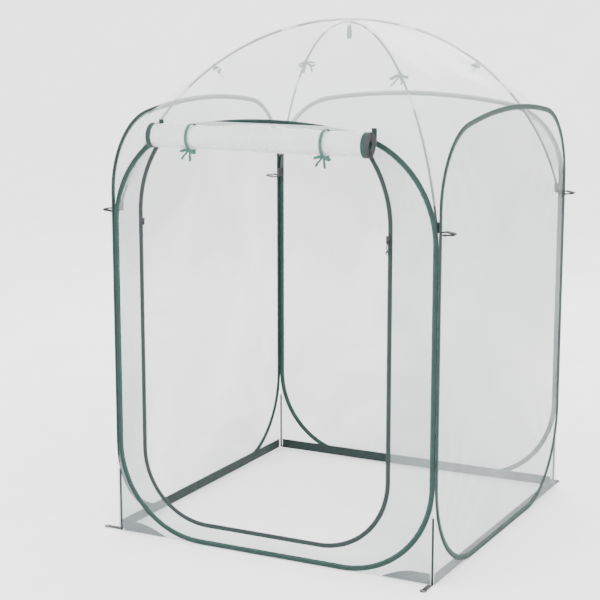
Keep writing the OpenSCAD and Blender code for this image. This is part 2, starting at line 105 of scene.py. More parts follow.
# Walls: unit along the wall, unit towards the inside, half width, crown, upper radius, crown angle
WALLS = {
    "front": ((1, 0, 0), (0, 1, 0), FACE_HALF, FRONT_TOP, 350 * MM, 10),
    "right": ((0, 1, 0), (-1, 0, 0), FLANK_HALF, SIDE_TOP, 262 * MM, 9),
    "back": ((-1, 0, 0), (0, -1, 0), FACE_HALF, SIDE_TOP, 262 * MM, 9),
    "left": ((0, -1, 0), (1, 0, 0), FLANK_HALF, SIDE_TOP, 262 * MM, 9),
}


class GreenhouseLook(bpy.types.PropertyGroup):
    """Colours and soft shapes that a user would change."""

    binding_light: FloatVectorProperty(
        name="Binding, lit side", description="Lighter threads of the green binding",
        default=(0x17 / 255, 0x3A / 255, 0x33 / 255), size=3, subtype="COLOR_GAMMA")
    binding_dark: FloatVectorProperty(
        name="Binding, shaded side", description="Darker threads of the green binding",
        default=(0x06 / 255, 0x1A / 255, 0x17 / 255), size=3, subtype="COLOR_GAMMA")
    film_tint: FloatVectorProperty(
        name="Film", description="Tint of the clear film",
        default=(0x8E / 255, 0x96 / 255, 0x98 / 255), size=3, subtype="COLOR_GAMMA")
    film_haze: FloatProperty(
        name="Film haze", description="How opaque one layer of film is",
        default=0.21, min=0.02, max=0.9, subtype="FACTOR")
    wall_ripple: FloatProperty(
        name="Wall ripple", description="Height of the film's tension wrinkles",
        default=5 * MM, min=0.0, max=8 * MM, unit="LENGTH")
    roll_turns: IntProperty(
        name="Turns in the roll", description="How often the rolled door winds round itself",
        default=7, min=3, max=10)


def look():
    """The scene's settings."""
    return bpy.context.scene.greenhouse_look


# ------------------------------------------------------------------------------- mesh building
def make_object(name, verts, faces, material, uv=None, smooth=True):
    """A mesh object from an array of points and an array of quads (or list of faces)."""
    mesh = bpy.data.meshes.new(name)
    mesh.from_pydata(np.asarray(verts).tolist(), [], np.asarray(faces).tolist()
                     if isinstance(faces, np.ndarray) else faces)
    mesh.polygons.foreach_set("use_smooth", np.full(len(mesh.polygons), smooth))
    if uv is not None:
        layer = mesh.uv_layers.new(name="UVMap")
        corner = np.empty(len(mesh.loops), int)
        mesh.loops.foreach_get("vertex_index", corner)
        layer.data.foreach_set("uv", np.asarray(uv)[corner].ravel())
    mesh.validate()
    mesh.update()
    piece = bpy.data.objects.new(name, mesh)
    bpy.context.scene.collection.objects.link(piece)
    mesh.materials.append(material)
    return piece


def grid_faces(rows, cols, wrap_rows=False, wrap_cols=False, flip=False):
    """Quads of a grid of points numbered row by row, joined round where it wraps."""
    r = np.arange(rows if wrap_rows else rows - 1)
    c = np.arange(cols if wrap_cols else cols - 1)
    a, b = np.meshgrid(r, c, indexing="ij")
    a, b = a.ravel(), b.ravel()
    a2, b2 = (a + 1) % rows, (b + 1) % cols
    quads = np.stack([a * cols + b, a2 * cols + b, a2 * cols + b2, a * cols + b2], 1)
    return quads[:, ::-1] if flip else quads


def shell(name, points, thickness, material, normal=None):
    """A closed thin shell: a grid of points and its copy, thickness away against its normals.

    The normal at a point is the cross product of the grid's two tangents, and the two skins
    are joined by a strip of quads along all four edges.
    """
    rows, cols = points.shape[:2]
    if normal is None:
        du = np.gradient(points, axis=0)
        dv = np.gradient(points, axis=1)
        normal = np.cross(du, dv)
        normal /= np.linalg.norm(normal, axis=2, keepdims=True) + 1e-12
    back = points - normal * thickness
    verts = np.concatenate([points.reshape(-1, 3), back.reshape(-1, 3)])
    n = rows * cols
    index = np.arange(n).reshape(rows, cols)
    edge = np.concatenate([index[0, :-1], index[:-1, -1], index[-1, :0:-1], index[:0:-1, 0]])
    after = np.roll(edge, -1)
    rim = np.stack([edge, edge + n, after + n, after], 1)
    faces = np.concatenate([grid_faces(rows, cols), grid_faces(rows, cols, flip=True) + n, rim])
    return fix_normals(make_object(name, verts, faces, material))


def fix_normals(piece):
    """Turns every face outwards."""
    work = bmesh.new()
    work.from_mesh(piece.data)
    bmesh.ops.remove_doubles(work, verts=work.verts, dist=1e-6)
    bmesh.ops.recalc_face_normals(work, faces=work.faces)
    work.to_mesh(piece.data)
    work.free()
    return piece


def blocks(name, corners, material):
    """A row of small blocks as one object: arrays of eight corners, one end's four first."""
    side = np.array([[0, 1, 2, 3], [4, 7, 6, 5], [0, 4, 5, 1], [1, 5, 6, 2], [2, 6, 7, 3],
                     [3, 7, 4, 0]])
    verts = np.stack(corners, 1).reshape(-1, 3)
    faces = (np.arange(len(verts) // 8)[:, None, None] * 8 + side).reshape(-1, 4)
    return fix_normals(make_object(name, verts, faces, material, smooth=False))


def sweep(name, path, section, material, up, closed=False, scale=None):
    """Carries a section of points (side, up) along a path of points.

    side is tangent cross up, made unit; the second axis is side cross tangent. scale is one
    factor a station. Open ends are closed with one flat face each.
    """
    path = np.asarray(path, float)
    n, m = len(path), len(section)
    if closed:
        tangent = np.roll(path, -1, 0) - np.roll(path, 1, 0)
    else:
        tangent = np.gradient(path, axis=0)
    tangent /= np.linalg.norm(tangent, axis=1, keepdims=True)
    up = np.broadcast_to(np.asarray(up, float), path.shape)
    side = np.cross(tangent, up)
    side /= np.linalg.norm(side, axis=1, keepdims=True)
    over = np.cross(side, tangent)
    section = np.asarray(section, float)
    size = np.ones(n) if scale is None else np.asarray(scale)
    verts = (path[:, None] + size[:, None, None] * (
        section[None, :, :1] * side[:, None] + section[None, :, 1:] * over[:, None]))
    verts = verts.reshape(-1, 3)
    faces = grid_faces(n, m, wrap_rows=closed, wrap_cols=True).tolist()
    if not closed:
        faces += [list(range(m))[::-1], [(n - 1) * m + j for j in range(m)]]
    along = running_length(path)
    uv = np.stack(np.broadcast_arrays(along[:, None], np.arange(m)[None] / m), -1).reshape(-1, 2)
    return fix_normals(make_object(name, verts, faces, material, uv))


def running_length(points):
    """Distance along a line of points, up to each of them."""
    return np.concatenate([[0], np.cumsum(np.linalg.norm(np.diff(points, axis=0), axis=1))])


def circle(radius, count=12):
    """Points round a circle."""
    a = np.arange(count) * TAU / count
    return np.stack([radius * np.cos(a), radius * np.sin(a)], 1)


def ring_points(centre, radius, u, v, count):
    """Points round a circle in space, in the plane of two unit directions."""
    a = np.linspace(0, TAU, count, endpoint=False)[:, None]
    return centre + radius * (np.cos(a) * u + np.sin(a) * v)


def flat_band(width, thick, bulge=0.0):
    """Section of a tape: rounded edges, and a little fuller in its middle by bulge."""
    h, t = width / 2, thick / 2
    half = [(-h + t, -t), (-h / 2, -t - bulge * 0.6), (0, -t - bulge), (h / 2, -t - bulge * 0.6),
            (h - t, -t), (h - t * 0.3, -t * 0.6), (h, 0)]
    return half + [(-x, -y) for x, y in half]


def join(name, pieces):
    """Several pieces as one object."""
    bpy.ops.object.select_all(action="DESELECT")
    for p in pieces:
        p.select_set(True)
    bpy.context.view_layer.objects.active = pieces[0]
    bpy.ops.object.join()
    pieces[0].name = name
    pieces[0].data.name = name
    return pieces[0]


def smooth_path(points, count):
    """A smooth curve through a few points: each coordinate is a Catmull-Rom spline."""
    p = np.asarray(points, float)
    p = np.concatenate([2 * p[:1] - p[1:2], p, 2 * p[-1:] - p[-2:-1]])
    t = np.linspace(0, len(p) - 3 - 1e-9, count)
    i = t.astype(int)
    f = (t - i)[:, None]
    a, b, c, d = p[i], p[i + 1], p[i + 2], p[i + 3]
    return 0.5 * (2 * b + (c - a) * f + (2 * a - 5 * b + 4 * c - d) * f ** 2
                  + (3 * b - a - 3 * c + d) * f ** 3)


def ripple(x, y, seed, scale):
    """Soft unevenness from -1 to 1: a sum of six plane waves with seeded directions."""
    rng = np.random.default_rng(seed)
    total = np.zeros(np.broadcast(x, y).shape)
    for k in range(6):
        a, ph, f = rng.uniform(0, TAU), rng.uniform(0, TAU), rng.uniform(0.6, 1.8)
        total = total + np.sin((x * np.cos(a) + y * np.sin(a)) * TAU * f / scale + ph)
    return total / 6


# ----------------------------------------------------------------------------------- materials
def linear(colour):
    """sRGB hex text or three sRGB values to linear RGBA."""
    if isinstance(colour, str):
        colour = [int(colour[i:i + 2], 16) / 255 for i in (0, 2, 4)]
    c = np.asarray(list(colour)[:3], float)
    c = np.where(c <= 0.04045, c / 12.92, ((c + 0.055) / 1.055) ** 2.4)
    return (*c.tolist(), 1.0)


def add(tree, kind, links=(), **settings):
    """Adds a node, sets its attributes or sockets, and links (from node, socket) to sockets."""
    item = tree.nodes.new(kind)
    for key, value in settings.items():
        if hasattr(item, key):
            setattr(item, key, value)
        else:
            item.inputs[key.replace("_", " ")].default_value = value
    for source, out, socket in links:
        tree.links.new(source.outputs[out], item.inputs[socket])
    return item


def noise(tree, place, **settings):
    """A noise texture over the object's own coordinates."""
    return add(tree, "ShaderNodeTexNoise", [(place, "Object", "Vector")], **settings)


def emboss(tree, shader, source, out, strength, distance):
    """Raises the surface by a texture."""
    bump = add(tree, "ShaderNodeBump", [(source, out, "Height")], Strength=strength,
               Distance=distance)
    tree.links.new(bump.outputs["Normal"], shader.inputs["Normal"])


def start_material(name, **surface):
    """A new material with its Principled shader's constant values set."""
    material = bpy.data.materials.new(name)
    material.use_nodes = True
    tree = material.node_tree
    shader = tree.nodes["Principled BSDF"]
    for key, value in surface.items():
        shader.inputs[key.replace("_", " ")].default_value = value
    place = add(tree, "ShaderNodeTexCoord")
    return material, tree, shader, place


def blend_colours(tree, factor, out, dark, light, low_at=0.3, high_at=0.7):
    """A ramp between two colours, driven by a texture."""
    ramp = add(tree, "ShaderNodeValToRGB", [(factor, out, "Fac")])
    ramp.color_ramp.elements[0].position = low_at
    ramp.color_ramp.elements[1].position = high_at
    ramp.color_ramp.elements[0].color = dark
    ramp.color_ramp.elements[1].color = light
    return ramp


def woven(name, dark, light, thread, roughness, sheen, relief):
    """Woven polyester: crossed thread waves for relief, slow noise for dye variation.

    thread is the drawn thread pitch, coarser than the true 0.5 mm so that it shows.
    """
    material, tree, shader, place = start_material(
        name, Roughness=roughness, Sheen_Weight=sheen, Sheen_Roughness=0.4,
        Specular_IOR_Level=0.35)
    waves = []
    for direction in ("X", "Y", "Z"):
        waves.append(add(tree, "ShaderNodeTexWave", [(place, "Object", "Vector")],
                         wave_type="BANDS", bands_direction=direction,
                         Scale=TAU / (20 * thread), Distortion=0.6, Detail=1.0))
    first = add(tree, "ShaderNodeMath", [(waves[0], "Fac", 0), (waves[1], "Fac", 1)],
                operation="MULTIPLY")
    cross = add(tree, "ShaderNodeMath", [(first, 0, 0), (waves[2], "Fac", 1)], operation="ADD")
    cloud = noise(tree, place, Scale=35.0, Detail=5.0, Roughness=0.6)
    mixed = add(tree, "ShaderNodeMath", [(cloud, "Fac", 0), (cross, 0, 1)],
                operation="MULTIPLY_ADD")
    mixed.inputs[2].default_value = 0.12
    ramp = blend_colours(tree, mixed, 0, linear(dark), linear(light), 0.2, 0.75)
    tree.links.new(ramp.outputs["Color"], shader.inputs["Base Color"])
    emboss(tree, shader, cross, 0, 0.45, relief)
    return material


def clear_film(name, haze, tint, roughness=0.16):
    """Calendered PVC film: glossy, faintly grey, with drifts of haze and fine scuffs."""
    material, tree, shader, place = start_material(
        name, Base_Color=linear(tint), IOR=1.53, Specular_IOR_Level=0.7, Coat_Weight=0.35,
        Coat_Roughness=0.08)
    drift = noise(tree, place, Scale=2.3, Detail=4.0, Roughness=0.55, Distortion=0.6)
    scuff = noise(tree, place, Scale=60.0, Detail=3.0, Roughness=0.7)
    cover = add(tree, "ShaderNodeMapRange", [(drift, "Fac", "Value")], From_Min=0.3,
                From_Max=0.75, To_Min=haze * 0.75, To_Max=haze * 1.5)
    tree.links.new(cover.outputs["Result"], shader.inputs["Alpha"])
    gloss = add(tree, "ShaderNodeMapRange", [(scuff, "Fac", "Value")], From_Min=0.3,
                From_Max=0.7, To_Min=roughness * 0.8, To_Max=roughness * 1.4)
    tree.links.new(gloss.outputs["Result"], shader.inputs["Roughness"])
    emboss(tree, shader, drift, "Fac", 0.25, 4 * MM)
    return material


def grained(name, dark, light, scale, relief, **surface):
    """A moulded, drawn or cast surface: fine noise for its grain, two close tones."""
    material, tree, shader, place = start_material(name, **surface)
    grain = noise(tree, place, Scale=scale, Detail=6.0, Roughness=0.65)
    ramp = blend_colours(tree, grain, "Fac", linear(dark), linear(light))
    tree.links.new(ramp.outputs["Color"], shader.inputs["Base Color"])
    emboss(tree, shader, grain, "Fac", 0.3, relief)
    return material


MATERIALS = {}


def make_materials():
    """One material for each real finish, named as its maker would."""
    s = look()
    MATERIALS.update(
        # folded polyester tape: matt, a soft bloom, a visible weave
        green_binding=woven("woven_polyester_binding", s.binding_dark, s.binding_light,
                            3.5 * MM, 0.74, 0.06, 0.5 * MM),
        # coated cloth of the sills: darker, closer weave, a slight shine from its coating
        green_oxford=woven("coated_oxford_cloth", "081817", "122B28", 4 * MM, 0.6, 0.04,
                           0.5 * MM),
        green_tape=woven("woven_tie_tape", "22463E", "3B6158", 3 * MM, 0.8, 0.1, 0.4 * MM),
        black_webbing=woven("polypropylene_webbing", "111214", "292B2E", 3 * MM, 0.62, 0.15,
                            0.6 * MM),
        stitching=grained("polyester_thread", "2E4A45", "3F5F59", 300.0, 0.1 * MM,
                          Roughness=0.7, Sheen_Weight=0.2),
        wall_film=clear_film("pvc_wall_film", s.film_haze, s.film_tint),
        roof_film=clear_film("pvc_roof_film", s.film_haze * 0.75, "D2D7D7"),
        door_film=clear_film("pvc_door_film", 0.34, "E6EAEA", 0.22),
        # blued wire, drawn through a die
        spring_steel=grained("blued_spring_steel", "4A4F55", "7C8288", 400.0, 0.05 * MM,
                             Metallic=1.0, Roughness=0.35),
        ferrule_steel=grained("drawn_steel_ferrule", "B6B9BC", "D8DADC", 350.0, 0.05 * MM,
                              Metallic=1.0, Roughness=0.28),
        # resin-bonded glass rod: satin grey with fibres showing
        glass_fibre=grained("pultruded_glass_fibre", "1B1D1F", "303336", 220.0, 0.12 * MM,
                            Roughness=0.42, Coat_Weight=0.2, Coat_Roughness=0.2),
        moulded_nylon=grained("moulded_black_nylon", "141517", "232528", 260.0, 0.1 * MM,
                              Roughness=0.48),
        zip_metal=grained("enamelled_zinc_casting", "16171A", "2A2C30", 300.0, 0.08 * MM,
                          Metallic=0.6, Roughness=0.34, Coat_Weight=0.4, Coat_Roughness=0.15),
    )


CAD_FINISH = {
    "hoop_wire": "spring_steel", "zip_tape": "green_oxford", "zip_slider": "zip_metal",
    "zip_pull": "zip_metal", "seam_binding": "green_oxford",
}


def ride(piece, body, slot, *nodes):
    """Puts a finished piece on its body and hides the nodes it stands for; slot is not used."""
    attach(piece, body)
    if nodes:
        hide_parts(*nodes)
    return piece


def fold_flat(piece):
    """Gives the piece its own copy of its mesh."""
    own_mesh(piece)


# -------------------------------------------------------------------------------- hoop outlines
def crown_arc(half, r, crown):
    """Radius of a hoop's crown, its half angle in radians and how far its arch rises."""
    c = np.radians(crown)
    big = (half - r * (1 - np.sin(c))) / np.sin(c)
    return big, c, r * np.cos(c) + big * (1 - np.cos(c))


def arc_route(cx, cz, rad, a0, a1):
    """An arc's points and outward normals, as (x, z, nx, nz)."""
    a = np.linspace(a0, a1, max(4, int(abs(a1 - a0) * rad / ROUTE_STEP)))
    return np.stack([cx + rad * np.cos(a), cz + rad * np.sin(a), np.cos(a), np.sin(a)], 1)


def hoop_outline(half, top, r, crown, inset=0.0):
    """A hoop's closed route in its plane, from the middle of its foot, as (x, z, nx, nz).

    Straight foot, quarter arc, upright, upper arc, crown arc, and the same mirrored. inset
    moves it inwards along its normals.
    """
    big, c, rise = crown_arc(half, r, crown)
    z1 = top - rise

    def line(p, q, nx, nz):
        n = max(2, int(np.hypot(q[0] - p[0], q[1] - p[1]) / ROUTE_STEP))
        t = np.linspace(0, 1, n)[1:-1, None]
        pts = np.array(p) * (1 - t) + np.array(q) * t
        return np.concatenate([pts, np.tile([nx, nz], (len(pts), 1))], 1)

    q = np.pi / 2
    right = [
        line((0, HOOP_FOOT), (half - FOOT_R, HOOP_FOOT), 0, -1),
        arc_route(half - FOOT_R, HOOP_FOOT + FOOT_R, FOOT_R, -q, 0),
        line((half, HOOP_FOOT + FOOT_R), (half, z1), 1, 0),
        arc_route(half - r, z1, r, 0, q - c),
        arc_route(0, top - big, big, q - c, q)[1:-1],
    ]
    right = np.concatenate(right)
    left = right[::-1] * [-1, 1, -1, 1]
    out = np.concatenate([right, [[0, top, 0, 1]], left, [[0, HOOP_FOOT, 0, -1]]])
    out[:, :2] -= out[:, 2:] * inset
    return out


def hoop_height(x, half, top, r, crown):
    """Height of a hoop's centreline above the ground at x: crown arc, then upper arc."""
    big, c, rise = crown_arc(half, r, crown)
    ax = np.minimum(np.abs(x), half)
    corner = top - rise + np.sqrt(np.maximum(0, r * r - np.maximum(0, ax - half + r) ** 2))
    return np.where(ax < half - r + r * np.sin(c), top - big + np.sqrt(big * big - ax * ax), corner)


def on_wall(wall, x, depth, z):
    """Points in the frame from a wall's own (along, depth inwards, height)."""
    along, inward = (np.array(v, float) for v in WALLS[wall][:2])
    x, depth, z = np.broadcast_arrays(x, depth, z)
    plane = -inward * abs(FRONT_Y)
    return (plane + x[..., None] * along + depth[..., None] * inward
            + z[..., None] * np.array([0, 0, 1.0]))


# ------------------------------------------------------------------------------------ operators
class PieceOperator:
    """What every operator here shares."""

    bl_options = {"REGISTER", "UNDO"}

    def execute(self, context):
        self.build()
        return {"FINISHED"}


# the focal length is in units of a frame 600 wide
CAMERA = {"place": (2.495, -5.213, 1.887), "turn_deg": (-27.3, 10.8), "focal": 1618,
          "frame": 600, "sensor_mm": 36, "far": 60}
WORLD_STRENGTH = 3.2
# name, place, size in metres, watts
LAMPS = (("key", (3.5, -4.5, 4.5), 3.0, 260), ("fill", (-5, -2.5, 3.0), 4.0, 130),
         ("rim", (-1.5, 4.5, 4.0), 3.0, 150))
LAMP_AIM = (0, 0, 0.9)
BACKDROP_R = 2.0
BACKDROP_Y = 14
FLOOR_REACH = 12
FLOOR_HALF = 16.0


class GREENHOUSE_OT_stage(PieceOperator, bpy.types.Operator):
    """Camera, pale floor and soft studio light"""

    bl_idname = "greenhouse.stage"
    bl_label = "Stage"

    def build(self):
        scene = bpy.context.scene
        camera = bpy.data.objects.new("camera", bpy.data.cameras.new("camera"))
        scene.collection.objects.link(camera)
        scene.camera = camera
        camera.data.sensor_width = CAMERA["sensor_mm"]
        camera.data.lens = CAMERA["focal"] / CAMERA["frame"] * CAMERA["sensor_mm"]
        camera.data.clip_end = CAMERA["far"]
        yaw, pitch = (np.radians(v) for v in CAMERA["turn_deg"])
        forward = Vector((np.sin(yaw) * np.cos(pitch), np.cos(yaw) * np.cos(pitch),
                          -np.sin(pitch)))
        turn = forward.to_track_quat("-Z", "Y")
        camera.matrix_world = Matrix.Translation(CAMERA["place"]) @ turn.to_matrix().to_4x4()

        world = bpy.data.worlds.new("studio")
        scene.world = world
        world.use_nodes = True
        background = world.node_tree.nodes["Background"]
        background.inputs["Color"].default_value = (1, 1, 1, 1)
        background.inputs["Strength"].default_value = WORLD_STRENGTH
        for name, place, size, power in LAMPS:
            lamp = bpy.data.lights.new(name, "AREA")
            lamp.size = size
            lamp.energy = power
            lamp_object = bpy.data.objects.new(name, lamp)
            scene.collection.objects.link(lamp_object)
            aim = (Vector(LAMP_AIM) - Vector(place)).to_track_quat("-Z", "Y")
            lamp_object.matrix_world = (Matrix.Translation(place)
                                        @ aim.to_matrix().to_4x4())
        # the floor turns up behind into a backdrop through a quarter circle
        bend = BACKDROP_R
        a = np.linspace(0, np.pi / 2, 16)
        curve = np.stack([BACKDROP_Y + bend * np.sin(a), bend - bend * np.cos(a)], 1)
        profile = np.concatenate([[[-FLOOR_REACH, 0]], curve,
                                  [[BACKDROP_Y + bend, FLOOR_REACH]]])
        x = np.array([-FLOOR_HALF, FLOOR_HALF])
        points = np.stack(np.broadcast_arrays(x[None], profile[:, :1], profile[:, 1:]), -1)
        paper = grained("matt_studio_paper", "F4F4F3", "FAFAF9", 3.0, 0.2 * MM, Roughness=0.95,
                        Specular_IOR_Level=0.1)
        points = points - [0, 0, 1.5 * MM]
        floor = make_object("studio_floor", points.reshape(-1, 3),
                            grid_faces(len(profile), 2, flip=True), paper)


class GREENHOUSE_OT_hoops(PieceOperator, bpy.types.Operator):
    """Sewn sleeves over the four spring hoops, with their rows of stitches"""

    bl_idname = "greenhouse.hoops"
    bl_label = "Hoop sleeves"

    def build(self):
        # the tape's section: round over the wire outboard, pressed flat on the film inboard
        w, t = SLEEVE_W / 2, SLEEVE_T / 2
        section = np.array([(-w, 0.9 * MM), (-w * 0.75, 1.5 * MM), (-w * 0.35, 1.7 * MM),
                            (0, 2.6 * MM), (w * 0.3, t * 0.92), (w * 0.62, t * 0.98),
                            (w * 0.9, t * 0.72), (w * 0.99, t * 0.3)])
        section = np.concatenate([section, section[::-1] * [1, -1]])
        for wall, (_, _, half, top, r, crown) in WALLS.items():
            line = hoop_outline(half, top, r, crown)
            s = running_length(line[:, :2])
            length = s[-1] + np.linalg.norm(line[0, :2] - line[-1, :2])
            # small gathers: the tape's inner edge puckers where the hoop bends
            gather = np.sin(s * TAU / length * round(length / (22 * MM)))
            drift = ripple(s, s * 0, 5 + len(wall), 0.17)
            u = section[None, :, 0] * np.ones((len(s), 1))
            inner = np.clip(-u / w, 0, 1)
            u = u + inner * 0.5 * MM * gather[:, None] - inner * 0.3 * MM
            v = section[None, :, 1] * (1 - 0.06 * np.abs(drift[:, None]))
            v = v + inner * 0.35 * MM * np.sin(s * 190)[:, None]
            x = line[:, :1] + u * line[:, 2:3]
            z = line[:, 1:2] + u * line[:, 3:]
            points = on_wall(wall, x, v, z)
            n, m = points.shape[:2]
            sleeve = make_object(f"{wall}_sleeve", points.reshape(-1, 3),
                                 grid_faces(n, m, True, True), MATERIALS["green_binding"])
            ride(fix_normals(sleeve), wall, "green_binding", f"{wall}_hoop_sleeve")
            for side in (1, -1):
                ride(stitch_row(f"{wall}_stitches_{'in' if side > 0 else 'out'}", wall, line,
                                -w * 0.62, side * 1.75 * MM), wall, "green_tape")


def stitch_row(name, wall, line, offset, depth):
    """A row of stitches along a hoop: one short flat-ended bar for each, drawn 9 mm long.

    A true stitch is 3 mm long, which is too fine to show.
    """
    pitch, stitch, thick = 14 * MM, 9 * MM, 0.45 * MM
    xy = line[:, :2] + line[:, 2:] * offset
    s = running_length(xy)
    mid = np.arange(pitch, s[-1] - pitch, pitch)
    ends = [np.stack([np.interp(mid + k * stitch / 2, s, xy[:, i]) for i in (0, 1)], 1)
            for k in (-1, 1)]
    nrm = np.stack([np.interp(mid, s, line[:, i]) for i in (2, 3)], 1) * thick
    corners = []
    for end in ends:
        for du, dv in ((-1, -1), (1, -1), (1, 1), (-1, 1)):
            p = end + du * nrm
            corners.append(on_wall(wall, p[:, 0], depth + dv * thick * 0.6, p[:, 1]))
    return blocks(name, corners, MATERIALS["stitching"])


ZIP_HALF = 6.7 * MM             # half width of the zip's tape
DOOR_R = 250 * MM
DOOR_TOP_R = 400 * MM
DOOR_KNEE = 1150 * MM           # where the upper bends begin
DOOR_LEAN = 36                  # degrees of each upper bend


def door_route(offset=0.0):
    """The zip's route: down the left side, along the foot and up the right.

    Each side is an upper arc that leans in, an upright and a lower arc. Returns (x, z, nx, nz)
    with normals pointing out of the doorway.
    """
    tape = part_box("door_zip_tape")
    half = (tape[1][0] - tape[0][0]) / 2 - ZIP_HALF
    mid = (tape[1][0] + tape[0][0]) / 2
    foot = tape[0][2] + ZIP_HALF
    r, top_r, knee, lean = DOOR_R, DOOR_TOP_R, DOOR_KNEE, np.radians(DOOR_LEAN)

    right = [arc_route(half - r, foot + r, r, -np.pi / 2, 0)]
    z = np.arange(foot + r + ROUTE_STEP, knee - ROUTE_STEP / 2, ROUTE_STEP)[:, None]
    right.append(np.concatenate([half + 0 * z, z, 1 + 0 * z, 0 * z], 1))
    right.append(arc_route(half - top_r, knee, top_r, 0, lean))
    right = np.concatenate(right)
    x = np.arange(0, half - r - ROUTE_STEP / 2, ROUTE_STEP)[:, None]
    sill = np.concatenate([x, foot + 0 * x, 0 * x, -1 + 0 * x], 1)
    right = np.concatenate([sill, right])
    left = (right * [-1, 1, -1, 1])[:0:-1]
    out = np.concatenate([left, right])
    out[:, :2] += out[:, 2:] * offset
    out[:, 0] += mid
    return out


class GREENHOUSE_OT_walls(PieceOperator, bpy.types.Operator):
    """Clear film of the four walls, drawn tight in the hoops and wrinkled at their corners"""

    bl_idname = "greenhouse.walls"
    bl_label = "Wall film"

    def build(self):
        amount = look().wall_ripple
        for k, (wall, (_, _, half, top, r, crown)) in enumerate(WALLS.items()):
            rim = hoop_outline(half, top, r, crown, inset=5 * MM)[:, :2]
            if wall == "front":
                inner, rim = self.front_rings(rim)
            else:
                # the inner ring is the middle of the wall: a small copy of the rim
                inner = np.array([0, top * 0.52]) + (rim - [0, top * 0.52]) * 0.002
            rows = 56
            t = np.linspace(0, 1, rows)[:, None, None]
            flat = inner[None] * (1 - t) + rim[None] * t
            x, z = flat[..., 0], flat[..., 1]
            # the film is pinned at its sleeve, and the front's also at the doorway
            inset = 1 - t[..., 0]
            slack = (np.sin(np.clip(inset, 0, 1) * np.pi) ** 0.6 if wall == "front"
                     else np.clip(inset * 5, 0, 1))
            depth = amount * slack * (0.55 * ripple(x, z, 20 + k, 0.55)
                                      + corner_folds(x, z, half, top, k))
            points = on_wall(wall, x, depth, z)
            film = self.skin(f"{wall}_film", points, wall == "front")
            area = surface_area(film) / 2
            ride(film, wall, "clear_film", f"{wall}_wall_film")
            # the front is cut as one strip round the doorway, so its length is the strip's
            width, height = 2 * half, top
            if wall == "front":
                height = surface_length(points[rows // 2])
                width = area / height

    @staticmethod
    def front_rings(rim):
        """Inner and outer rings of the front film: the doorway's edge and the hoop, as open lines.

        Both run from one end of the zip, down, along and up to its other end, and are
        sampled at the same shares of their length.
        """
        edge = door_route(1.5 * MM)[:, :2]
        start, end = edge[0], edge[-1]
        # cut the rim where it is nearest to the zip's two ends, and keep the part below
        far = int(np.argmin(np.hypot(*(rim - start).T)))
        near = int(np.argmin(np.hypot(*(rim - end).T)))
        outer = np.roll(rim, -far, axis=0)
        outer = outer[: (near - far) % len(rim) + 1]
        return (resample(edge, 420), resample_like(outer, edge, 420))

    @staticmethod
    def skin(name, points, is_open):
        """Both faces of a wall film over a ring of points."""
        rows, cols = points.shape[:2]
        film = make_object(name, points.reshape(-1, 3),
                           grid_faces(rows, cols, wrap_cols=not is_open),
                           MATERIALS["wall_film"])
        thicken(film, FILM_T)
        return film


def resample(line, count):
    """Points at even steps along a line."""
    s = running_length(line)
    at = np.linspace(0, s[-1], count)
    return np.stack([np.interp(at, s, line[:, i]) for i in (0, 1)], 1)


def resample_like(line, guide, count):
    """Points on line, each where the ray from the guide's middle through its own point goes."""
    even = resample(guide, count)
    middle = np.array([guide[:, 0].mean(), 0.72])
    want = np.unwrap(np.arctan2(*(even - middle).T[::-1]))
    fine = resample(line, 4000)
    have = np.unwrap(np.arctan2(*(fine - middle).T[::-1]))
    have = have + TAU * np.round((want[0] - have[0]) / TAU)
    # stretch the guide's angles so that both ends meet the line's ends
    share = (want - want[0]) / (want[-1] - want[0])
    target = have[0] + share * (have[-1] - have[0])
    order = np.argsort(have)
    return np.stack([np.interp(target, have[order], fine[order, i]) for i in (0, 1)], 1)


def corner_folds(x, z, half, top, seed):
    """Tension wrinkles that fan in from each rounded corner.

    Each is a wave in the angle about the corner, strongest a hand's breadth in and gone
    after half a metre.
    """
    total = np.zeros(x.shape)
    for i, (sx, cz) in enumerate(((-1, 0), (1, 0), (-1, top), (1, top))):
        cx = sx * half * 1.02
        d = np.hypot(x - cx, z - cz)
        a = np.arctan2(z - cz, x - cx)
        fade = np.exp(-((d - 0.30) / 0.16) ** 2)
        total = total + fade * np.sin(a * (19 + 3 * ((seed + i) % 3)) + seed + i * 1.7)
    return total


def thicken(piece, thickness):
    """Turns a single skin into a closed one with Solidify, applied."""
    solid = piece.modifiers.new("thickness", "SOLIDIFY")
    solid.thickness = thickness
    solid.offset = 0
    apply_modifiers(piece)
    return fix_normals(piece)


def apply_modifiers(piece):
    """The piece's mesh becomes its modified mesh."""
    graph = bpy.context.evaluated_depsgraph_get()
    done = bpy.data.meshes.new_from_object(piece.evaluated_get(graph))
    piece.modifiers.clear()
    piece.data = done


def surface_area(piece):
    """Sum of a mesh's face areas."""
    areas = np.empty(len(piece.data.polygons))
    piece.data.polygons.foreach_get("area", areas)
    return float(areas.sum())


def surface_length(line):
    """Length of a line of points."""
    return float(np.linalg.norm(np.diff(line, axis=0), axis=1).sum())


def arch(reach, rise):
    """Radius of the arc through both pole ends and its top."""
    return (reach ** 2 + rise ** 2) / (2 * rise)


UPPER_TOP = APEX_H - POLE_R - FILM_GAP
LOWER_TOP = UPPER_TOP - 2 * POLE_R - 1.5 * MM


def ridge_height(t):
    """Roof height over a pole, a share t of the way to the corner."""
    rad = arch(TIP_RADIUS, UPPER_TOP - TIP_H) + POLE_R + FILM_GAP
    d = t * ROOF_HALF * np.sqrt(2)
    z = UPPER_TOP + POLE_R + FILM_GAP - rad + np.sqrt(np.maximum(0, rad ** 2 - d ** 2))
    return np.maximum(EAVES_H, z)


